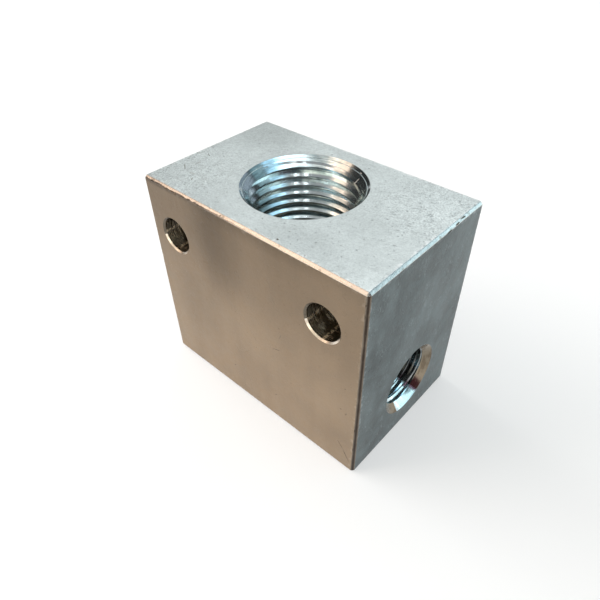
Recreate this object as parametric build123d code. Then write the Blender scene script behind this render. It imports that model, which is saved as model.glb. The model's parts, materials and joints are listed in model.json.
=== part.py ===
from build123d import *
import math
import os

# Aluminium air manifold: a saw-cut, milled block with one large pipe port in its top, one small
# pipe port in its right side, a drilled gallery that joins them, and two bolt holes through it.
# Millimetres. +X runs along the block, the front face looks along -Y, +Z is up.
# The origin is the middle of the block's underside.

# The block
block_length = 48.0
block_depth = 30.0
block_height = 41.7
edge_break = 0.45

# The line that both ports and the gallery are set out from
port_from_left = 23.1
port_from_front = 15.6

# Top port: a half-inch taper pipe thread, drilled at its tapping size
top_mouth_diameter = 21.7
top_bore_diameter = 18.4
top_bore_depth = 19.0

# Side port: a quarter-inch taper pipe thread, drilled at its tapping size
side_mouth_diameter = 14.2
side_bore_diameter = 11.4
side_port_drop = 30.0

# Gallery: drilled down from the floor of the top port, past the side port's axis
gallery_diameter = 12.7
gallery_overrun = 3.0

# Two bolt holes from front to back, one each side of the top port
bolt_hole_diameter = 6.6
bolt_mouth_diameter = 7.15
bolt_hole_from_left = 6.4
bolt_hole_spacing = 33.9
bolt_hole_drop = 9.85

# Tools: the point of a twist drill and the countersink, both as included angles
drill_point_angle = 118.0
countersink_angle = 90.0

# How far a cutting tool starts outside the face that it enters
tool_lead = 1.0

port_x = port_from_left - block_length / 2
port_y = port_from_front - block_depth / 2
front_y = -block_depth / 2
right_x = block_length / 2
side_port_z = block_height - side_port_drop
left_bolt_x = bolt_hole_from_left - block_length / 2
bolt_hole_z = block_height - bolt_hole_drop


def cone_height(radius, included_angle):
    """The height of a cone of this radius and point angle."""
    return radius / math.tan(math.radians(included_angle / 2))


def drill(diameter, depth):
    """A twist drill's cut down -Z from the origin: full diameter to depth, then the point."""
    radius = diameter / 2
    outline = Polyline(
        (0, tool_lead),
        (radius, tool_lead),
        (radius, -depth),
        (0, -depth - cone_height(radius, drill_point_angle)),
        close=True,
    )
    return revolve(Plane.XZ * make_face(outline), Axis.Z)


def countersink(mouth_diameter):
    """A countersink's cut down -Z from the origin, as wide as its mouth at the face itself."""
    radius = mouth_diameter / 2
    outline = Polyline(
        (0, tool_lead),
        (radius, tool_lead),
        (radius, 0),
        (0, -cone_height(radius, countersink_angle)),
        close=True,
    )
    return revolve(Plane.XZ * make_face(outline), Axis.Z)


def milled_block():
    """The squared block with every outer edge broken."""
    body = Pos(0, 0, block_height / 2) * Box(block_length, block_depth, block_height)
    return chamfer(body.edges(), edge_break)


def top_port_cut():
    """The vertical port and the gallery that goes on below it."""
    mouth = Pos(port_x, port_y, block_height)
    gallery_depth = side_port_drop + gallery_overrun
    port = drill(top_bore_diameter, top_bore_depth) + countersink(top_mouth_diameter)
    return mouth * (port + drill(gallery_diameter, gallery_depth))


def side_port_cut():
    """The port in the right face, drilled until its point reaches the gallery's axis."""
    mouth = Pos(right_x, port_y, side_port_z) * Rot(0, 90, 0)
    point = cone_height(side_bore_diameter / 2, drill_point_angle)
    full_depth = right_x - port_x - point
    return mouth * (drill(side_bore_diameter, full_depth) + countersink(side_mouth_diameter))


def bolt_hole_cuts():
    """The two through holes, countersunk a little at the front and at the back."""
    cuts = []
    for bolt_x in (left_bolt_x, left_bolt_x + bolt_hole_spacing):
        at = Pos(bolt_x, 0, bolt_hole_z)
        front = Pos(0, front_y, 0) * Rot(90, 0, 0)
        back = Pos(0, -front_y, 0) * Rot(-90, 0, 0)
        through = Rot(90, 0, 0) * Cylinder(bolt_hole_diameter / 2, block_depth + 2 * tool_lead)
        mouths = front * countersink(bolt_mouth_diameter) + back * countersink(bolt_mouth_diameter)
        cuts.append(at * (through + mouths))
    return cuts


def manifold_block():
    """The finished manifold, one machined piece."""
    block = milled_block() - top_port_cut() - side_port_cut()
    for cut in bolt_hole_cuts():
        block -= cut
    return block


os.makedirs("parts", exist_ok=True)
export_step(manifold_block(), "parts/manifold_block.step")
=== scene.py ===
import json
import math

import bmesh
import bpy
from mathutils import Euler, Matrix, Vector


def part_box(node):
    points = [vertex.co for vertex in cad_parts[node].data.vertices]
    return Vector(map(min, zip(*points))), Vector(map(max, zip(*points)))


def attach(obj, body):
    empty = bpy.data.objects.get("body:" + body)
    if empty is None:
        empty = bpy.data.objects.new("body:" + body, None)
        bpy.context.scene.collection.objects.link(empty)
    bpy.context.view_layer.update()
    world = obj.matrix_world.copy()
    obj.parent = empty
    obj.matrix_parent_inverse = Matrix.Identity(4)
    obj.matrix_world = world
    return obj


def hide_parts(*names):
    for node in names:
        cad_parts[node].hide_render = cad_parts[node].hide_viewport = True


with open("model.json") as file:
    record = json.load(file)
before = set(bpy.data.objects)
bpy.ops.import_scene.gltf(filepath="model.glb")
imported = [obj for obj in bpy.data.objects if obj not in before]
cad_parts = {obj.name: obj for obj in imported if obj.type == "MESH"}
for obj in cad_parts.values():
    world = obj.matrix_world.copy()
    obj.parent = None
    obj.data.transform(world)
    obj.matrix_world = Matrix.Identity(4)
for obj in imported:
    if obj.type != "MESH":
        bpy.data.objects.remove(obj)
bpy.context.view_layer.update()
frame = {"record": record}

MM = 0.001
NODE = "manifold_block"

# The manifold's own sizes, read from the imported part
MOUNTS = {m["name"]: m for m in frame["record"]["mounts"]}
LOW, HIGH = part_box(NODE)
CENTRE = (LOW + HIGH) / 2
PORT_X, PORT_Y = MOUNTS["top_port"]["pos_m"][:2]
SIDE_Z = MOUNTS["side_port"]["pos_m"][2]
BOLTS_X, _, BOLTS_Z = MOUNTS["bolt_holes"]["pos_m"]
BOLT_SPACING = MOUNTS["bolt_holes"]["dims"]["spacing_x_mm"] * MM
TOP_BORE = MOUNTS["top_port"]["dims"]["r_mm"] * MM
SIDE_BORE = MOUNTS["side_port"]["dims"]["r_mm"] * MM
BOLT_HOLE = MOUNTS["bolt_holes"]["dims"]["hole_r_mm"] * MM

# The middle of each port's mouth
TOP_PORT = (PORT_X, PORT_Y, HIGH.z)
SIDE_PORT = (HIGH.x, PORT_Y, SIDE_Z)

# Radii and depths that the record has no key for, as in the CAD source
TOP_MOUTH = 10.85 * MM
SIDE_MOUTH = 7.1 * MM
BOLT_MOUTH = 3.575 * MM
GALLERY = 6.35 * MM
TOP_BORE_DEPTH = 19.0 * MM
GALLERY_OVERRUN = 3.0 * MM
EDGE_BREAK = 0.45 * MM
DRILL_POINT = math.tan(math.radians(31))

# Pipe threads. Root is the radius of the grooves' bottom at the face, first is how deep a groove's
# middle lies on the +Y side, by the countersink's foot, and turns is how many lie below that one.
TOP_THREAD = {
    "pitch": 25.4 * MM / 14, "root": 10.17 * MM, "first": 2.93 * MM, "turns": 8, "mouth": TOP_MOUTH
}
SIDE_THREAD = {
    "pitch": 25.4 * MM / 18, "root": 6.42 * MM, "first": 1.30 * MM, "turns": 8, "mouth": SIDE_MOUTH
}

# A groove's shape: how fast its root closes in with depth, by half the standard's taper because the
# hole itself is drilled straight, the slope of its flanks, 40 degrees from square, the width of its
# flat bottom, the turns in which it runs out, and how deep it goes into the countersink's cone
THREAD_TAPER = 1 / 64
FLANK = math.tan(math.radians(40))
ROOT_FLAT = 0.08 * MM
RUNOUT_TURNS = 1.6
GRAZE = 0.015 * MM

# Fine shapes: the rounding of a mouth's rim and how deep the rim reaches, how deep in the top
# countersink the tool left a line and half that line's width, and the rounding of the borders of
# the broken edges
LIP = 0.018 * MM
RIM_DEPTH = 1.3 * LIP
TOOL_LINE_DEPTH = 0.48 * MM
TOOL_LINE = 0.03 * MM
EDGE_ROUND = 0.06 * MM

# How far a cutter reaches outside the block
LEAD = 1 * MM

# How many turns a thread's cut goes on above its first groove, which takes it out of the block
TURNS_ABOVE = 2

# The steps of each cutter round its axis. A thread and its countersink differ, so that few corners
# of the one lie beside a corner of the other.
TOP_TAPPING_STEPS = 240
TOP_COUNTERSINK_STEPS = 256
SIDE_TAPPING_STEPS = 180
SIDE_COUNTERSINK_STEPS = 200
BOLT_HOLE_STEPS = 120

# The steps of each knock's ellipsoid, round it and from end to end
MARK_STEPS = (12, 6)

# Edges sharper than this, in degrees, are drawn sharp
SHARP_ANGLE = 24

# The finishes outside, in the order that outer_finish gives them. The front and back are painted a
# warm brown as painted reflection and shade, the ends a dark blue-grey as painted shade, and the
# edges other than those round the top are painted dark as shade.
OUTER_FINISHES = ("milled", "warm_painted", "dark_painted", "edge", "corner")
EDGE_FINISH, PAINTED_DARK_FINISH = 3, 4

# How far a face's normal points up where it belongs to the top or to the broken edge round it, and
# how far it points along an axis where it belongs to another flat face
TOP_NORMAL, EDGE_NORMAL, FLAT_NORMAL = 0.8, 0.3, 0.999

# Where the side port gets a pale cyan painted reflection, in degrees round it from +Y towards +Z;
# elsewhere its thread and countersink are painted dark as shade.
PAINTED_REFLECTION_THREAD = (200, 300)
PAINTED_REFLECTION_CONE = (246, 300)

# The painted glints on the bolt holes' walls, lines of painted highlight: the cosine of half a
# line's width as an angle, and the colour
GLINT_EDGE = math.cos(math.radians(6))
PAINTED_GLINT = (1.0, 0.86, 0.66)

# The bolt holes: name, side of the middle, and the angles of the painted glint lines in degrees
BOLT_HOLES = (("left", -1, (-171, -105)), ("right", 1, (-158, -89)))

# The two axes of each face that is marked. Those of the countersink run down its slope and along
# its rim, at the heading where it is scratched.
DIAGONAL = math.sqrt(0.5)
SCRATCHED_HEADING = math.radians(61)
FACES = {
    "cone": (
        Vector((-math.cos(SCRATCHED_HEADING), -math.sin(SCRATCHED_HEADING), -1)).normalized(),
        Vector((-math.sin(SCRATCHED_HEADING), math.cos(SCRATCHED_HEADING), 0)),
    ),
    "top": (Vector((1, 0, 0)), Vector((0, 1, 0))),
    "front": (Vector((1, 0, 0)), Vector((0, 0, 1))),
    "front_edge": (Vector((1, 0, 0)), Vector((0, DIAGONAL, DIAGONAL))),
    "right_edge": (Vector((0, 1, 0)), Vector((-DIAGONAL, 0, DIAGONAL))),
}

# Knocks, pits and scratches: the face, the point on it in mm, the turn of its long axis from the
# face's first axis in degrees, and half its length, half its width and its depth in mm
MARKS = [
    ("front_edge", (-17.8, -14.95, 41.30), 4, (0.75, 0.13, 0.12)),
    ("front_edge", (-16.3, -14.95, 41.28), -5, (0.40, 0.12, 0.11)),
    ("front_edge", (-15.4, -15.00, 41.15), 0, (0.35, 0.15, 0.12)),
    ("front_edge", (-13.4, -14.92, 41.36), 3, (0.50, 0.10, 0.10)),
    ("front_edge", (-12.1, -14.92, 41.36), -3, (0.36, 0.10, 0.10)),
    ("front_edge", (-8.7, -14.95, 41.30), 0, (0.60, 0.09, 0.08)),
    ("front_edge", (-4.4, -14.80, 41.50), 6, (0.30, 0.08, 0.06)),
    ("right_edge", (23.98, 4.6, 41.20), 0, (0.75, 0.14, 0.12)),
    ("right_edge", (23.90, 7.0, 41.38), 4, (0.65, 0.12, 0.12)),
    ("right_edge", (23.75, 8.9, 41.52), -3, (0.70, 0.12, 0.10)),
    ("front", (-5.5, -15, 6.8), 0, (0.17, 0.14, 0.09)),
    ("front", (5.6, -15, 6.8), 0, (0.14, 0.14, 0.08)),
    ("front", (21.7, -15, 15.1), 85, (0.28, 0.08, 0.08)),
    ("front", (20.6, -15, 15.6), 0, (0.10, 0.10, 0.06)),
    ("front", (9.6, -15, 13.2), 30, (0.14, 0.09, 0.06)),
    ("front", (7.3, -15, 25.0), 0, (0.12, 0.09, 0.06)),
    ("front", (21.2, -15, 21.0), 60, (0.13, 0.09, 0.06)),
    ("front", (-3.1, -15, 2.5), 0, (0.14, 0.10, 0.07)),
    ("front", (0.6, -15, 1.8), 0, (0.12, 0.10, 0.06)),
    ("front", (20.9, -15, 5.9), -49, (1.00, 0.06, 0.04)),
    ("front", (22.3, -15, 3.8), -59, (1.60, 0.07, 0.05)),
    ("front", (6.4, -15, 19.5), 18, (1.00, 0.06, 0.03)),
    ("front", (7.5, -15, 23.2), 70, (0.60, 0.05, 0.03)),
    ("top", (6.8, -13.8, 41.7), 0, (0.20, 0.16, 0.09)),
    ("top", (-23.0, -3.5, 41.7), 40, (0.55, 0.07, 0.05)),
    ("top", (-21.0, -2.8, 41.7), -30, (0.60, 0.06, 0.05)),
    ("top", (-20.0, -6.0, 41.7), 65, (0.50, 0.07, 0.05)),
    ("top", (-17.9, -9.2, 41.7), 20, (0.60, 0.06, 0.05)),
    ("top", (-16.4, -10.5, 41.7), -55, (0.45, 0.07, 0.05)),
    ("top", (-20.8, -8.5, 41.7), -38, (1.10, 0.06, 0.05)),
    ("cone", (3.66, 8.97, 40.37), 3, (0.62, 0.08, 0.06)),
    ("cone", (3.60, 10.10, 41.36), 75, (0.24, 0.06, 0.05)),
    ("cone", (4.40, 7.35, 39.42), 60, (0.20, 0.09, 0.06)),
]

# The floor: half its side, how much of its white shows as it is near the block, where the rest
# takes light and shadow, and the distances between which that share grows to all, in metres
FLOOR_HALF = 3.0
FLOOR_WHITE = 0.5
FLOOR_FADE = (0.5, 2.2)

# The camera stands where the photograph was taken from: its place, its turns in degrees and its
# focal length as a share of the picture's width
CAMERA_AT = Vector((51.413, -57.488, 85.048)) * MM
CAMERA_AZIMUTH, CAMERA_DOWN, CAMERA_ROLL = 42.784, 41.405, -1.012
FOCAL_SHARE = 528.48 / 600
SENSOR_WIDTH = 36

# The studio, by the height of a direction as its sine: where the pale wall fades out, where it
# grows lighter again overhead, and how light it is between and overhead. For any ray that doesn't
# come from the camera, the wall ends WALL_LOWERED times lower.
WALL_FADE = (0.46, 0.16)
CEILING_FADE = (0.5, 0.95)
DIM, OVERHEAD = 0.03, 0.32
WALL_LOWERED = 6

# How far the softboxes stand from the block, in metres, and those that the metal mirrors: name,
# middle, spread and radiance, as panel takes them
PANEL_DISTANCE = 1.5
PANELS = [
    ("peach_window", (225, 39), (30, 40), (1.30, 0.94, 0.70)),
    ("blue_window", (30, 54), (27, 18), (0.42, 0.80, 1.05)),
    ("pale_window", (3, 56), (27, 12), (0.62, 0.90, 0.98)),
    ("white_window", (326, 60), (46, 14), (1.3, 1.45, 1.45)),
    ("left_lamp", (349, 69.5), (2.6, 2.6), (7, 7, 7)),
    ("right_lamp", (313, 71.5), (2.6, 2.6), (7, 7, 7)),
    ("teal_window", (62, 40), (18, 22), (0.15, 0.27, 0.31)),
    ("side_window", (90, 15), (34, 28), (0.24, 0.29, 0.34)),
    ("ceiling_window", (268, 58), (44, 10), (0.50, 0.50, 0.46)),
    ("back", (123, 42), (58, 36), (1.10, 1.17, 1.17)),
    ("edge_window", (50, 21), (30, 12), (0.66, 0.92, 1.04)),
    ("low_window", (36, 8), (60, 24), (1.0, 1.3, 1.35)),
    ("front", (272, 15), (86, 34), (1.9, 1.72, 1.42)),
    ("red_card", (350, 9), (28, 26), (0.10, 0.02, 0.05)),
]

# Sockets of the colour mix node: the share, the two colours and the result
MIX_INPUTS = (0, 6, 7)
MIX_RESULT = 2


class Graph:
    """The nodes of a material or a world, with a short call for each kind that is used. Lengths on
    the part are in millimetres, and every input is either a plain value or a node's output."""

    def __init__(self, owner):
        owner.use_nodes = True
        self.owner = owner
        self.tree = owner.node_tree

    def put(self, socket, value):
        if isinstance(value, bpy.types.NodeSocket):
            self.tree.links.new(value, socket)
        else:
            socket.default_value = value

    def node(self, kind, inputs, **settings):
        made = self.tree.nodes.new(kind)
        for key, value in settings.items():
            setattr(made, key, value)
        for key, value in inputs.items():
            self.put(made.inputs[key], value)
        return made.outputs

    def math(self, operation, *values):
        return self.node("ShaderNodeMath", dict(enumerate(values)), operation=operation)[0]

    def vector(self, operation, *values):
        return self.node("ShaderNodeVectorMath", dict(enumerate(values)), operation=operation)

    def scaled(self, vector, factor):
        inputs = {"Vector": vector, "Scale": factor}
        return self.node("ShaderNodeVectorMath", inputs, operation="SCALE")[0]

    def place(self, origin=(0, 0, 0)):
        """The point on the part, in millimetres from an origin given in metres."""
        point = self.node("ShaderNodeTexCoord", {})["Object"]
        return self.scaled(self.vector("SUBTRACT", point, tuple(origin))[0], 1 / MM)

    def split(self, vector):
        return tuple(self.node("ShaderNodeSeparateXYZ", {0: vector}))

    def join(self, x, y, z):
        return self.node("ShaderNodeCombineXYZ", {0: x, 1: y, 2: z})[0]

    def stretch(self, vector, turn, sizes):
        """The vector turned back by turn, in radians round each axis, and divided by the sizes."""
        inputs = {"Vector": vector, "Rotation": turn, "Scale": sizes}
        return self.node("ShaderNodeMapping", inputs, vector_type="TEXTURE")[0]

    def noise(self, vector, size, detail):
        inputs = {"Vector": vector, "Scale": 1 / size, "Detail": detail}
        return self.node("ShaderNodeTexNoise", inputs)["Fac"]

    def between(self, value, low, high):
        """0 where the value is at low and 1 where it is at high, eased in between."""
        inputs = {"Value": value, "From Min": low, "From Max": high}
        return self.node("ShaderNodeMapRange", inputs, interpolation_type="SMOOTHSTEP")[0]

    def sum(self, start, *parts):
        """start plus each (weight, value)."""
        for weight, value in parts:
            start = self.math("MULTIPLY_ADD", value, weight, start)
        return start

    def colours(self, first, second, share):
        """The first colour where the share is 0 and the second where it is 1."""
        ends = [c if isinstance(c, bpy.types.NodeSocket) else (*c, 1) for c in (first, second)]
        inputs = dict(zip(MIX_INPUTS, (share, *ends)))
        return self.node("ShaderNodeMix", inputs, data_type="RGBA")[MIX_RESULT]

    def finish(self, colour, roughness, height):
        """Metal of this colour and roughness, with its relief from a height in millimetres."""
        bump = self.node("ShaderNodeBump", {"Height": height, "Distance": MM, "Strength": 1.0})
        shader = self.tree.nodes["Principled BSDF"]
        self.put(shader.inputs["Base Color"], colour)
        self.put(shader.inputs["Roughness"], roughness)
        self.put(shader.inputs["Normal"], bump["Normal"])
        self.put(shader.inputs["Metallic"], 1.0)
        return self.owner


def hairlines(g, point, long, wide, turn, cover):
    """Thin wandering lines of about long by wide mm, lying at a turn in space. A smaller cover
    leaves fewer of them."""
    sizes = (long, wide, wide)
    wander = g.noise(g.stretch(point, turn, sizes), 1, 1.0)
    line = g.between(g.math("ABSOLUTE", g.math("SUBTRACT", wander, 0.5)), 0.018, 0.004)
    patch = g.between(g.noise(point, long * 0.6, 1.0), 0.62 - cover, 0.68 - cover)
    return g.math("MULTIPLY", line, patch)


def edge_distance(g):
    """How far the point is from the nearest edge of the block, in millimetres."""
    half = (HIGH - LOW) / 2 / MM
    x, y, z = g.split(g.vector("ABSOLUTE", g.place(CENTRE))[0])
    x, y, z = (g.math("SUBTRACT", h, v) for h, v in zip(half, (x, y, z)))
    return g.math("MAXIMUM", g.math("MINIMUM", x, y), g.math("MINIMUM", g.math("MAXIMUM", x, y), z))


def skin(
    name, colour, worn_colour, roughness, scuff_turns, streak_sizes, weights, stains_and_painted_light, top_painted_shade=1.0,
    bruises=(), turned=None,
):
    """An outer face: clouded and mottled, finely pitted by tumbling, scuffed in several directions
    and brighter where its edges are worn. The weights are those of clouds, blotches, mottle,
    grain, streaks, scuffs and pits in its shade, and the top brightness is painted shade: the
    face's brightness along the top, which lifts to full lower down. Each patch is its middle and
    its reach along X, Y and Z in mm, and its weight; the patches are darker and lighter tone, among
    them painted shade and a painted highlight. Bruises are the middle and the reach in mm of each
    patch with the most scuffs and the coarsest grain. Turned is the middle of faint circular marks,
    and the radii in mm between which they die out."""
    g = Graph(bpy.data.materials.new(name))
    point = g.place()
    clouds = g.between(g.noise(point, 11, 3.0), 0.3, 0.7)
    blotches = g.between(g.noise(point, 2.6, 3.0), 0.3, 0.7)
    mottle = g.between(g.noise(point, 0.7, 2.0), 0.25, 0.75)
    grain = g.noise(point, 0.26, 1.0)
    streaks = g.between(g.noise(g.stretch(point, (0, 0, 0), streak_sizes), 1, 3.0), 0.3, 0.7)
    pits = g.between(g.noise(point, 0.55, 1.0), 0.70, 0.76)
    scuffs = 0.0
    for long, wide, turn, cover in scuff_turns:
        scuffs = g.math("MAXIMUM", scuffs, hairlines(g, point, long, wide, turn, cover))
    if bruises:
        bruised = 0.0
        for middle, reach in bruises:
            distance = g.vector("DISTANCE", point, middle)["Value"]
            bruised = g.math("MAXIMUM", bruised, g.between(distance, reach, reach / 3))
        scuffs = g.math("MULTIPLY", scuffs, g.sum(0.25, (0.75, bruised)))
        coarseness = g.sum(0.8, (1.2, bruised))
        grain = g.math("MULTIPLY_ADD", g.math("SUBTRACT", grain, 0.5), coarseness, 0.5)
    wear_and_glints = g.sum(edge_distance(g), (1.2, mottle))
    wear = g.between(wear_and_glints, 1.35, 0.75)
    parts = zip(weights, (clouds, blotches, mottle, grain, streaks, scuffs, pits))
    shade = g.sum(1.0 - sum(weights[:5]) / 2, *parts)
    # Darker and lighter patches of tone, among them painted shade and a painted highlight
    for middle, reach, weight in stains_and_painted_light:
        away = g.stretch(g.vector("SUBTRACT", point, middle)[0], (0, 0, 0), reach)
        shade = g.sum(shade, (weight, g.between(g.vector("LENGTH", away)["Value"], 1.0, 0.1)))
    if turned:
        origin, near, far = turned
        x, y, _ = g.split(g.place(origin))
        radius = g.vector("LENGTH", g.join(x, y, 0.0))["Value"]
        rings = g.math("SUBTRACT", g.noise(g.join(radius, 0.0, 0.0), 0.45, 2.0), 0.5)
        shade = g.sum(shade, (0.30, g.math("MULTIPLY", rings, g.between(radius, far, near))))
    # Painted shade: darker along the top of the face, up to full brightness lower down
    painted_top_shade_factor = g.sum(top_painted_shade, (1.06 - top_painted_shade, g.between(g.split(point)[2], 42, 10)))
    tone = g.scaled(g.colours(colour, worn_colour, wear), g.math("MULTIPLY", shade, painted_top_shade_factor))
    dulling = ((0.10, mottle), (0.10, blotches), (-0.08, wear), (-0.06, scuffs))
    relief = ((0.012, mottle), (0.018, grain), (-0.02, scuffs), (0.010, streaks), (-0.04, pits))
    return g.finish(tone, g.sum(roughness - 0.08, *dulling), g.sum(0.0, *relief))


def broken_edge(name, border_colour, colour, nicked_colour, roughness, foot_shade=0.0):
    """The narrow chamfer along an edge, painted from its border colour to another along its middle,
    a painted highlight on the edges round the top and painted shade on the others, with nicks
    where it was knocked. Painted shade darkens its lower border, most towards the -X end, as much
    as the last argument asks, and its painted brightness dims towards the +X end."""
    g = Graph(bpy.data.materials.new(name))
    point = g.place()
    mottle = g.noise(point, 0.5, 2.0)
    waves = g.noise(point, 2.4, 2.0)
    knocks = g.between(g.noise(point, 1.1, 2.0), 0.60, 0.72)
    # Along the band's middle: a painted highlight on the edges round the top, painted shade on the
    # others
    painted_middle = g.between(g.sum(edge_distance(g), (0.12, waves)), 0.50, 0.34)
    tone = g.colours(g.colours(border_colour, colour, painted_middle), nicked_colour, knocks)
    # Painted shade along the lower border, most towards -X, and a painted dimming towards +X
    x, _, z = g.split(g.place((0, 0, HIGH.z)))
    wander = g.math("MULTIPLY_ADD", g.noise(point, 0.8, 2.0), 0.30, z)
    foot = g.math("MULTIPLY", g.between(wander, -0.10, -0.20), g.between(x, 8, -12))
    foot_painted_shade = g.math("MULTIPLY", foot, foot_shade)
    painted_dimming = g.between(x, 2, 24)
    tone = g.scaled(tone, g.sum(0.68, (0.30, mottle), (0.34, waves), (-1.0, foot_painted_shade), (-0.12, painted_dimming)))
    rough = g.sum(roughness, (0.12, mottle), (0.10, knocks))
    return g.finish(tone, rough, g.sum(0.0, (0.012, mottle), (0.05, waves)))


def cut_metal(name, colours, roughness, axis, origin, ring, marks, grooves=None, wear_and_glints=()):
    """The wall of a hole that turns about an axis (0, 1 or 2) through origin: bright, with tool
    rings ring mm wide, fine scratches across them and duller patches. Marks is the relief of the
    rings in mm. Grooves are the pitch, width and depth in mm of the rings that a worn drill left in
    places, painted darker inside as painted shade, and the last argument gives the angles in
    degrees of the lines of painted glint on the wall."""
    g = Graph(bpy.data.materials.new(name))
    local = g.split(g.place(origin))
    across = [local[i] for i in range(3) if i != axis]
    radius = g.vector("LENGTH", g.join(*across, 0.0))["Value"]
    around = [g.math("DIVIDE", v, radius) for v in across]
    feed = g.math("ADD", local[axis], radius)

    def pattern(feed_size, turn_count, detail):
        """Noise that is feed_size mm long across the rings and changes turn_count times a radian."""
        stretched = [g.math("MULTIPLY", v, turn_count) for v in around]
        return g.noise(g.join(g.math("DIVIDE", feed, feed_size), *stretched), 1, detail)

    rings = pattern(ring, 1, 2.0)
    scratches = pattern(1.6, 26, 2.0)
    dull = g.between(pattern(1.1, 2.5, 2.0), 0.46, 0.62)
    shade = g.sum(0.72, (0.22, rings), (0.26, scratches))
    tone = g.scaled(g.colours(*colours, dull), shade)
    rough = g.sum(roughness, (0.05, dull), (0.05, rings))
    height = g.sum(0.0, (marks, rings), (0.004, scratches))
    if grooves:
        pitch, width, depth = grooves
        swing = g.math("PINGPONG", g.math("ADD", feed, g.math("MULTIPLY", rings, 0.45)), pitch / 2)
        kept = g.between(pattern(1.9, 1.4, 1.0), 0.32, 0.52)
        groove = g.math("MULTIPLY", g.between(swing, width / 2, 0.0), kept)
        height = g.sum(height, (-depth, groove))
        # Painted shade in the grooves, with the wall between them painted lighter
        tone = g.scaled(tone, g.sum(1.30, (-0.75, groove)))
        # Painted glints: lines of painted highlight at the given angles round the wall
        shine = 0.0
        for angle in wear_and_glints:
            line = (math.cos(math.radians(angle)), math.sin(math.radians(angle)), 0.0)
            facing = g.vector("DOT_PRODUCT", g.join(*around, 0.0), line)["Value"]
            shine = g.math("MAXIMUM", shine, g.between(facing, GLINT_EDGE, 1.0))
        shine = g.math("MULTIPLY", shine, g.sum(1.0, (-0.8, groove)))
        shine = g.math("MULTIPLY", shine, g.between(pattern(0.5, 6, 1.0), 0.42, 0.54))
        tone = g.colours(tone, PAINTED_GLINT, shine)
        rough = g.sum(rough, (0.35, shine))
    return g.finish(tone, rough, height)


def outer_skins():
    """The finishes of the milled top and base, of the front and back, painted a warm brown as
    painted reflection and shade, and of the ends, painted a dark blue-grey as painted shade.
    """
    flat_turns = [
        (3.0, 0.5, (0, 0, 0.5), 0.03),
        (2.2, 0.4, (0, 0, 2.1), 0.03),
        (5.0, 0.6, (0, 0, 1.2), 0.01),
    ]
    front_turns = [
        (6.0, 0.5, (0, 1.25, 0), 0.01),
        (3.0, 0.4, (0, 0.4, 0), 0.0),
    ]
    end_turns = [
        (5.0, 0.4, (0, 1.45, 0), 0.08),
        (3.0, 0.4, (0, 1.2, 0.6), 0.06),
    ]
    flat_weights = (0.10, 0.08, 0.14, 0.52, 0.04, -0.24, -0.25)
    flat_bruises = [((-20, -8, 42), 13), ((19, 8, 42), 12)]
    front_weights = (0.08, 0.08, 0.05, 0.10, 0.08, -0.06, -0.045)
    end_weights = (0.36, 0.42, 0.24, 0.36, 0.08, 0.55, -0.20)
    # Patches on the top; the light one at the near corner is a painted highlight
    flat_stains_and_highlight = [
        ((-21, 14, 42), (13, 12, 20), -0.17),
        ((18, 7, 42), (11, 12, 20), 0.08),
        ((23, -14, 42), (5, 5, 5), 0.14),
        ((9, -12, 42), (10, 5, 10), -0.13),
        ((14, -1, 42), (7, 6, 10), -0.08),
    ]
    # Patches on the front; the dark ones along the top and the thin dark strip just under the top
    # edge, towards -X, are painted shade
    front_stains_and_shade = [
        ((-7, -15, 36), (9, 30, 18), -0.27),
        ((-14, -15, 15), (11, 30, 14), -0.18),
        ((19, -15, 38), (8, 30, 7), 0.16),
        ((4, -15, 10), (14, 30, 8), -0.10),
        ((18, -15, 7), (9, 30, 8), -0.11),
        ((4, -15, 42), (25, 30, 3.5), -0.26),
        ((-19, -15, 41.2), (11, 30, 0.7), -0.45),
    ]
    # Darker and lighter patches on the ends
    end_patches = [
        ((24, -4, 32), (30, 5, 9), -0.20),
        ((24, -8, 5), (30, 6, 9), -0.18),
        ((24, -13, 15), (30, 4, 10), 0.22),
        ((24, 0, 42), (30, 20, 4), -0.22),
    ]
    return {
        "milled": skin(
            "milled_faces", (0.73, 0.765, 0.762), (0.86, 0.87, 0.87), 0.42, flat_turns, (9, 9, 9),
            flat_weights, flat_stains_and_highlight, bruises=flat_bruises, turned=(TOP_PORT, 11.5, 17),
        ),
        # Front and back: the warm brown is painted reflection and shade, and 0.64 is painted shade
        # along their top
        "warm_painted": skin(
            "warm_painted_faces", (0.346, 0.261, 0.181), (0.42, 0.33, 0.245), 0.40, front_turns, (5, 5, 60),
            front_weights, front_stains_and_shade, 0.64,
        ),
        # Ends: the dark blue-grey is painted shade
        "dark_painted": skin(
            "dark_painted_ends", (0.135, 0.161, 0.165), (0.24, 0.27, 0.28), 0.42, end_turns, (2.2, 2.2, 12),
            end_weights, end_patches,
        ),
    }


def edge_finishes():
    """The finishes of the broken edges round the top, with a painted highlight and painted shade, of
    the other edges, painted dark as shade, and of the knocks and scratches.
    """
    return {
        "edge": broken_edge(
            "broken_edges", (0.74, 0.72, 0.69), (0.96, 0.95, 0.92), (0.66, 0.63, 0.58), 0.22, 0.8
        ),
        # The other edges: a dark brown that is painted shade
        "corner": broken_edge(
            "painted_dark_edges", (0.24, 0.20, 0.16), (0.06, 0.045, 0.035), (0.10, 0.08, 0.06), 0.36
        ),
        "nick": broken_edge(
            "knocked_metal", (0.22, 0.18, 0.14), (0.18, 0.15, 0.12), (0.12, 0.09, 0.07), 0.30
        ),
        "fresh": broken_edge(
            "fresh_scratch", (1.0, 1.0, 1.0), (1.0, 1.0, 1.0), (1.0, 0.98, 0.96), 0.62
        ),
    }


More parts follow.
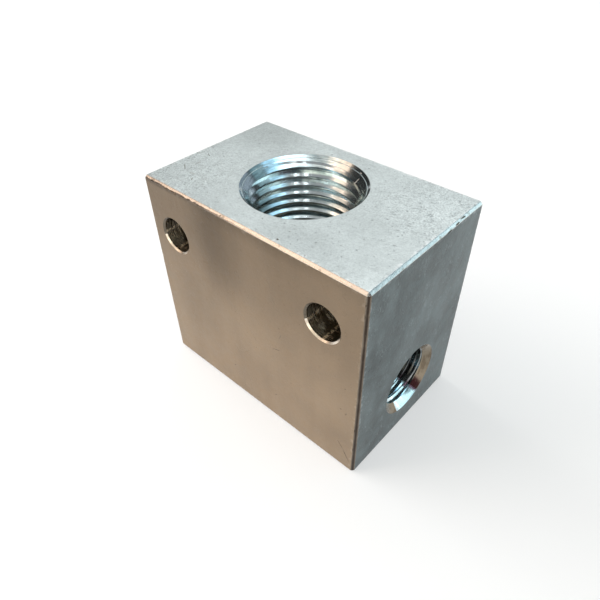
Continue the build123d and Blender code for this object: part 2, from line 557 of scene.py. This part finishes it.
def hole_finishes():
    """The finishes of the ports, the gallery and the two bolt holes."""
    thread = ((0.82, 0.90, 0.92), (0.58, 0.67, 0.69))
    # Painted shade: the side port's thread and countersink are painted dark; the colour after them
    # is the port's painted cyan reflection
    shaded_side_thread = ((0.36, 0.38, 0.38), (0.16, 0.17, 0.17))
    shaded_side_cone = ((0.30, 0.25, 0.185), (0.22, 0.172, 0.122))
    side_painted_reflection = ((0.78, 0.92, 0.97), (0.62, 0.76, 0.82))
    # Painted shade: the drilled walls are a dark olive, as shade inside a hole
    drilled = ((0.34, 0.30, 0.23), (0.24, 0.21, 0.16))
    # The bolt countersinks come in a lit and a shaded copy: cream below as painted highlight, dark
    # above as painted shade
    lit_bolt_countersink = ((0.90, 0.82, 0.71), (0.72, 0.64, 0.54))
    shaded_bolt_countersink = ((0.16, 0.14, 0.11), (0.12, 0.10, 0.08))
    drill_marks = (0.36, 0.18, 0.045)
    made = {
        "tapped": cut_metal("tapped_port", thread, 0.12, 2, TOP_PORT, 0.10, 0.001),
        "top_cone": cut_metal("top_countersink", thread, 0.12, 2, TOP_PORT, 0.12, 0.001),
        "side_tapped": cut_metal("tapped_side_port", shaded_side_thread, 0.13, 0, SIDE_PORT, 0.10, 0.001),
        "shaded_side_cone": cut_metal("side_countersink", shaded_side_cone, 0.12, 0, SIDE_PORT, 0.12, 0.001),
        "side_painted_reflection": cut_metal("side_port_painted_reflection", side_painted_reflection, 0.10, 0, SIDE_PORT, 0.12, 0.001),
        "gallery": cut_metal("drilled_gallery", drilled, 0.30, 2, TOP_PORT, 0.35, 0.02, drill_marks),
    }
    for side, sign, wear_and_glints in BOLT_HOLES:
        at = (BOLTS_X + sign * BOLT_SPACING / 2, 0, BOLTS_Z)
        made[side + "_hole"] = cut_metal(
            side + "_bolt_hole", drilled, 0.24, 1, at, 0.35, 0.02, drill_marks, wear_and_glints
        )
        for part, name, colours in (
            ("_cone", "_countersinks", lit_bolt_countersink),
            ("_shaded_cone", "_shaded_cones", shaded_bolt_countersink),
        ):
            made[side + part] = cut_metal(side + name, colours, 0.30, 1, at, 0.2, 0.001)
    return made


def new_object(name, data):
    obj = bpy.data.objects.new(name, data)
    bpy.context.scene.collection.objects.link(obj)
    return obj


def object_from(name, bm):
    """A mesh object with what the bmesh holds, which is freed."""
    mesh = bpy.data.meshes.new(name)
    bm.to_mesh(mesh)
    bm.free()
    return new_object(name, mesh)


def mesh_object(name, vertices, faces):
    """A closed mesh object whose faces all look outwards."""
    mesh = bpy.data.meshes.new(name)
    mesh.from_pydata(vertices, [], faces)
    bm = bmesh.new()
    bm.from_mesh(mesh)
    bmesh.ops.recalc_face_normals(bm, faces=bm.faces)
    bm.to_mesh(mesh)
    bm.free()
    return new_object(name, mesh)


def dress(obj, materials, pick):
    """Gives a mesh its materials, one by number to each face from the face's centre and normal."""
    for material in materials:
        obj.data.materials.append(material)
    for face in obj.data.polygons:
        face.material_index = pick(face.center, face.normal)
    return obj


def moved(obj, location, rotation=(0, 0, 0)):
    """The object with its mesh turned by degrees round X, Y and Z, and then moved."""
    turn = Euler([math.radians(a) for a in rotation]).to_matrix().to_4x4()
    obj.data.transform(Matrix.Translation(location) @ turn)
    return obj


def around_axis(radius, turn, z):
    """A point round the Z axis, with turn 0 on the +Y side and counting anticlockwise from above."""
    angle = 2 * math.pi * turn
    return (-radius * math.sin(angle), radius * math.cos(angle), z)


def add_ring(vertices, radius, z, count):
    """Adds a ring of count points round the axis, and returns their numbers."""
    start = len(vertices)
    vertices += [around_axis(radius, i / count, z) for i in range(count)]
    return [start + i for i in range(count)]


def join_rings(faces, upper, lower):
    """Adds the faces between two rings."""
    count = len(upper)
    for i in range(count):
        j = (i + 1) % count
        faces.append((upper[i], lower[i], lower[j], upper[j]))


def close_ring(vertices, faces, ring, z):
    """Adds the faces from a ring to a tip on the axis."""
    tip = len(vertices)
    vertices.append((0, 0, z))
    for i in range(len(ring)):
        faces.append((tip, ring[i], ring[(i + 1) % len(ring)]))


def lathe(name, outline, count):
    """A closed solid turned about Z, from an outline of (radius, z) that goes down, tip to tip."""
    vertices, faces, rings = [], [], []
    for radius, z in outline[1:-1]:
        rings.append(add_ring(vertices, radius, z, count))
    for upper, lower in zip(rings, rings[1:]):
        join_rings(faces, upper, lower)
    close_ring(vertices, faces, rings[0], outline[0][1])
    close_ring(vertices, faces, rings[-1], outline[-1][1])
    return mesh_object(name, vertices, faces)


def groove_profile(bore, thread, z, share):
    """One pitch of the bore's wall across a groove whose middle is at z: (radius, z), going up.
    Beside the countersink the groove only grazes its cone."""
    half_pitch = thread["pitch"] / 2
    root = thread["root"] + z * THREAD_TAPER
    sunk = thread["mouth"] - bore
    clear = min(1.0, max(0.0, (-0.9 * sunk - z) / (0.25 * sunk)))
    grazing = min(root, thread["mouth"] + z + GRAZE)
    deep = max(0.0, grazing + (root - grazing) * clear - bore) * share
    edge = ROOT_FLAT / 2 + deep * FLANK
    return [
        (bore, z - half_pitch),
        (bore, z - edge),
        (bore + deep, z - ROOT_FLAT / 2),
        (bore + deep, z + ROOT_FLAT / 2),
        (bore, z + edge),
        (bore, z + half_pitch),
    ]


def tapped_cutter(name, bore, thread, below, count):
    """The cut of a drilled and tapped hole down -Z from its mouth. Below is the outline under the
    threaded stretch, from the bore's own radius to the tip of the last drill."""
    turns = thread["turns"] + TURNS_ABOVE
    lowest = -thread["first"] - thread["turns"] * thread["pitch"]
    vertices, faces, columns = [], [], []
    for k in range(turns * count + 1):
        turn = k / count
        share = min(1.0, turn / RUNOUT_TURNS)
        profile = groove_profile(bore, thread, lowest + turn * thread["pitch"], share)
        column = []
        for i, (radius, z) in enumerate(profile):
            if i == 0 and k >= count:
                column.append(columns[k - count][-1])
            else:
                column.append(len(vertices))
                vertices.append(around_axis(radius, turn, z))
        columns.append(column)
    for left, right in zip(columns, columns[1:]):
        for i in range(len(left) - 1):
            faces.append((left[i], right[i], right[i + 1], left[i + 1]))
    top_loop = [c[-1] for c in columns[-count - 1:]] + columns[-1][-2:0:-1]
    close_ring(vertices, faces, top_loop, lowest + turns * thread["pitch"])
    foot = [c[0] for c in columns[:count]]
    ring = add_ring(vertices, bore, below[0][1], count)
    for i in range(count - 1):
        faces.append((foot[i], ring[i], ring[i + 1], foot[i + 1]))
    faces.append((foot[-1], ring[-1], ring[0]) + tuple(columns[0]))
    for radius, z in below[1:-1]:
        lower = add_ring(vertices, radius, z, count)
        join_rings(faces, ring, lower)
        ring = lower
    close_ring(vertices, faces, ring, below[-1][1])
    return mesh_object(name, vertices, faces)


def milled_block():
    """The squared block with its edges broken, and the borders of each break just rounded."""
    bm = bmesh.new()
    bmesh.ops.create_cube(bm, size=1)
    extent = HIGH - LOW
    for v in bm.verts:
        v.co = Vector(CENTRE[i] + v.co[i] * extent[i] for i in range(3))
    bmesh.ops.bevel(bm, geom=bm.edges[:], offset=EDGE_BREAK, segments=1, affect="EDGES")
    bmesh.ops.bevel(bm, geom=bm.edges[:], offset=EDGE_ROUND, segments=2, profile=0.5, affect="EDGES")
    return object_from("manifold", bm)


def countersink_outline(mouth, lines=()):
    """A 90 degree cone that is as wide as the mouth at z = 0, with the rim just rounded over and a
    fine line at each of some depths, where the tool stood."""
    outline = [
        (0, LEAD),
        (mouth + 4 * LIP, LEAD),
        (mouth + 2 * LIP, 0.4 * LIP),
        (mouth, -0.4 * LIP),
        (mouth - LIP, -1.2 * LIP),
    ]
    for depth in lines:
        outline += [
            (mouth - depth + TOOL_LINE, -depth + TOOL_LINE),
            (mouth - depth + 0.7 * TOOL_LINE, -depth - 0.7 * TOOL_LINE),
            (mouth - depth - TOOL_LINE, -depth - TOOL_LINE),
        ]
    return outline + [(0, -mouth)]


def painted_reflection_sector(low, high):
    """Picks 1 between two angles round the side port, where it gets the painted reflection, and 0
    elsewhere. The cutter still points down there, so the port's +Z side is at -X."""
    return lambda at, normal: int(low < math.degrees(math.atan2(-at.x, at.y)) % 360 < high)


def top_port_cutters(finish):
    """The top port with the gallery below it, and its countersink."""
    gallery_depth = HIGH.z - SIDE_Z + GALLERY_OVERRUN
    below = [
        (TOP_BORE, -TOP_BORE_DEPTH),
        (GALLERY, -TOP_BORE_DEPTH - (TOP_BORE - GALLERY) * DRILL_POINT),
        (GALLERY, -gallery_depth),
        (0, -gallery_depth - GALLERY * DRILL_POINT),
    ]
    tapped = tapped_cutter("top_tapping", TOP_BORE, TOP_THREAD, below, TOP_TAPPING_STEPS)
    dress(
        tapped,
        [finish["tapped"], finish["gallery"]],
        lambda at, normal: int(at.z < -TOP_BORE_DEPTH),
    )
    outline = countersink_outline(TOP_MOUTH, [TOOL_LINE_DEPTH])
    sunk = lathe("top_countersink", outline, TOP_COUNTERSINK_STEPS)
    dress(
        sunk,
        [finish["top_cone"], finish["milled"]],
        lambda at, normal: int(at.z > -RIM_DEPTH),
    )
    return [moved(tapped, TOP_PORT), moved(sunk, TOP_PORT)]


def side_port_cutters(finish):
    """The side port, whose drill point ends on the gallery's axis, and its countersink."""
    reach = HIGH.x - PORT_X
    below = [(SIDE_BORE, -(reach - SIDE_BORE * DRILL_POINT)), (0, -reach)]
    tapped = tapped_cutter("side_tapping", SIDE_BORE, SIDE_THREAD, below, SIDE_TAPPING_STEPS)
    dress(tapped, [finish["side_tapped"], finish["side_painted_reflection"]], painted_reflection_sector(*PAINTED_REFLECTION_THREAD))
    sunk = lathe("side_countersink", countersink_outline(SIDE_MOUTH), SIDE_COUNTERSINK_STEPS)
    dress(sunk, [finish["shaded_side_cone"], finish["side_painted_reflection"]], painted_reflection_sector(*PAINTED_REFLECTION_CONE))
    return [moved(cutter, SIDE_PORT, (0, 90, 0)) for cutter in (tapped, sunk)]


def bolt_hole_cutters(finish):
    """The two through holes with their countersinks, painted bright below as a painted highlight
    and dark on their upper side as painted shade.
    """
    flare = BOLT_MOUTH - BOLT_HOLE
    half = (HIGH.y - LOW.y) / 2
    outline = [
        (0, half + LEAD),
        (BOLT_MOUTH + LEAD, half + LEAD),
        (BOLT_HOLE, half - flare),
        (BOLT_HOLE, -half + flare),
        (BOLT_MOUTH + LEAD, -half - LEAD),
        (0, -half - LEAD),
    ]

    def hole_finish(at, normal):
        in_the_cone = abs(at.z) > half - flare
        # The upper side of each countersink gets the painted shade
        on_the_upper_side = at.y > -0.35 * BOLT_HOLE
        return in_the_cone * (1 + on_the_upper_side)

    made = []
    for side, sign, _ in BOLT_HOLES:
        at = (BOLTS_X + sign * BOLT_SPACING / 2, CENTRE.y, BOLTS_Z)
        cutter = lathe(side + "_bolt_hole", outline, BOLT_HOLE_STEPS)
        dress(cutter, [finish[side + part] for part in ("_hole", "_cone", "_shaded_cone")], hole_finish)
        made.append(moved(cutter, at, (90, 0, 0)))
    return made


def marks(finish):
    """Every knock, pit and scratch of MARKS, as flat ellipsoids in one cutter. Those in the top
    port's countersink are fresh."""
    bm = bmesh.new()
    for face, at, turn, half in MARKS:
        u, v = FACES[face]
        axes = Matrix((u, v, u.cross(v))).transposed().to_4x4()
        spin = Matrix.Rotation(math.radians(turn), 4, "Z")
        size = Matrix.Diagonal(Vector(half) * MM).to_4x4()
        bmesh.ops.create_uvsphere(
            bm, u_segments=MARK_STEPS[0], v_segments=MARK_STEPS[1], radius=1,
            matrix=Matrix.Translation(Vector(at) * MM) @ axes @ spin @ size,
        )
    port = Vector(TOP_PORT).xy
    return dress(
        object_from("marks", bm),
        [finish["nick"], finish["fresh"]],
        lambda at, normal: int((at.xy - port).length < TOP_MOUTH),
    )


def cut(obj, cutter):
    """Takes the cutter out of the object, with the cutter's materials on the new faces."""
    modifier = obj.modifiers.new("cut", "BOOLEAN")
    modifier.operation = "DIFFERENCE"
    modifier.solver = "EXACT"
    modifier.material_mode = "TRANSFER"
    modifier.object = cutter
    bpy.context.view_layer.update()
    depsgraph = bpy.context.evaluated_depsgraph_get()
    mesh = bpy.data.meshes.new_from_object(obj.evaluated_get(depsgraph))
    obj.modifiers.clear()
    obj.data = mesh
    bpy.data.objects.remove(cutter)


def outer_finish(at, normal):
    """The number in OUTER_FINISHES of a flat face, of the broken edge round the top or of any other
    edge, which is painted dark as shade. The strip that rounds off the top face is milled like it."""
    if normal.z > TOP_NORMAL:
        return 0
    for number, axis in enumerate((2, 1, 0)):
        if abs(normal[axis]) > FLAT_NORMAL:
            return number
    return EDGE_FINISH if normal.z > EDGE_NORMAL else PAINTED_DARK_FINISH


def part_cuts(mesh):
    """Makes the border of every cut sharp, so that a cut isn't shaded into its neighbour."""
    sides = {}
    for face in mesh.polygons:
        for key in face.edge_keys:
            sides.setdefault(key, set()).add(face.material_index)
    for edge in mesh.edges:
        kinds = sides[edge.key]
        if len(kinds) > 1 and max(kinds) >= len(OUTER_FINISHES):
            edge.use_edge_sharp = True


def manifold():
    """The whole piece: the block, cut by every tool and mark in turn."""
    finish = outer_skins() | edge_finishes() | hole_finishes()
    block = dress(milled_block(), [finish[name] for name in OUTER_FINISHES], outer_finish)
    cutters = top_port_cutters(finish) + side_port_cutters(finish) + bolt_hole_cutters(finish)
    for cutter in cutters + [marks(finish)]:
        cut(block, cutter)
    block.data.shade_smooth()
    block.data.set_sharp_from_angle(angle=math.radians(SHARP_ANGLE))
    part_cuts(block.data)
    block.modifiers.new("weighted", "WEIGHTED_NORMAL").keep_sharp = True
    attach(block, "root")
    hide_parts(NODE)


def make_floor():
    """A matt white floor. A share of its white shows as it is, and more of it far from the block,
    where the lamps don't reach."""
    half = FLOOR_HALF
    corners = [(-half, -half, 0), (half, -half, 0), (half, half, 0), (-half, half, 0)]
    mesh = bpy.data.meshes.new("floor")
    mesh.from_pydata(corners, [], [(0, 1, 2, 3)])
    floor = new_object("floor", mesh)
    g = Graph(bpy.data.materials.new("floor"))
    shader = g.tree.nodes["Principled BSDF"]
    g.put(shader.inputs["Base Color"], (0.95, 0.95, 0.95, 1))
    g.put(shader.inputs["Roughness"], 0.9)
    g.put(shader.inputs["Specular IOR Level"], 0.1)
    path = g.node("ShaderNodeLightPath", {})
    seen = path["Is Camera Ray"]
    for kind in ("Is Glossy Ray", "Is Transmission Ray"):
        seen = g.math("MAXIMUM", seen, path[kind])
    distance = g.vector("LENGTH", g.node("ShaderNodeTexCoord", {})["Object"])["Value"]
    white = g.sum(FLOOR_WHITE, (1 - FLOOR_WHITE, g.between(distance, *FLOOR_FADE)))
    share = g.math("MULTIPLY", seen, white)
    glow = g.node("ShaderNodeEmission", {})[0]
    surface = g.node("ShaderNodeMixShader", {0: share, 1: shader.outputs[0], 2: glow})[0]
    g.put(g.tree.nodes["Material Output"].inputs["Surface"], surface)
    mesh.materials.append(g.owner)


def make_camera():
    data = bpy.data.cameras.new("camera")
    data.sensor_width = SENSOR_WIDTH
    data.lens = SENSOR_WIDTH * FOCAL_SHARE
    data.clip_start = 0.005
    camera = new_object("camera", data)
    camera.matrix_world = (
        Matrix.Translation(CAMERA_AT)
        @ Matrix.Rotation(math.radians(CAMERA_AZIMUTH), 4, "Z")
        @ Matrix.Rotation(math.radians(90 - CAMERA_DOWN), 4, "X")
        @ Matrix.Rotation(math.radians(CAMERA_ROLL), 4, "Z")
    )
    bpy.context.scene.camera = camera


def make_world():
    """A plain studio with a pale wall round it, dim above the wall and grey overhead. The camera
    sees the whole wall. Other rays see only its foot, because the metal would otherwise mirror a
    white room and lose its dark reflections."""
    g = Graph(bpy.data.worlds.new("world"))
    height = g.split(g.node("ShaderNodeTexCoord", {})["Generated"])[2]
    seen_by_camera = g.node("ShaderNodeLightPath", {})["Is Camera Ray"]
    lower = g.math("MULTIPLY_ADD", seen_by_camera, 1 - WALL_LOWERED, WALL_LOWERED)
    wall = g.between(g.math("MULTIPLY", height, lower), *WALL_FADE)
    ceiling = g.sum(DIM, (OVERHEAD - DIM, g.between(height, *CEILING_FADE)))
    background = g.tree.nodes["Background"]
    g.put(background.inputs["Strength"], g.math("MAXIMUM", wall, ceiling))
    g.put(background.inputs["Color"], (0.985, 1.0, 1.0, 1))
    bpy.context.scene.world = g.owner


def panel(name, middle, spread, radiance):
    """A softbox that faces the block. Its middle is a heading, anticlockwise from +X, and a height
    above the floor, its spread is across and up, all in degrees as the block sees them, and its
    radiance is (red, green, blue)."""
    data = bpy.data.lights.new(name, "AREA")
    data.shape = "RECTANGLE"
    data.size, data.size_y = (2 * PANEL_DISTANCE * math.tan(math.radians(a / 2)) for a in spread)
    peak = max(radiance)
    data.energy = math.pi * data.size * data.size_y * peak
    data.color = [c / peak for c in radiance]
    light = new_object(name, data)
    a, e = (math.radians(d) for d in middle)
    towards = Vector((math.cos(e) * math.cos(a), math.cos(e) * math.sin(a), math.sin(e)))
    light.location = towards * PANEL_DISTANCE
    light.rotation_euler = towards.to_track_quat("Z", "Y").to_euler()
    light.visible_camera = False
    return light


manifold()
make_floor()
make_camera()
make_world()
for softbox in PANELS:
    panel(*softbox)

# This one lights the floor and throws the shadow. The metal doesn't mirror it.
floor_light = panel("floor_light", (200, 36), (60, 24), (7.6, 7.5, 7.4))
floor_light.visible_glossy = False

bpy.context.scene.view_settings.view_transform = "Standard"
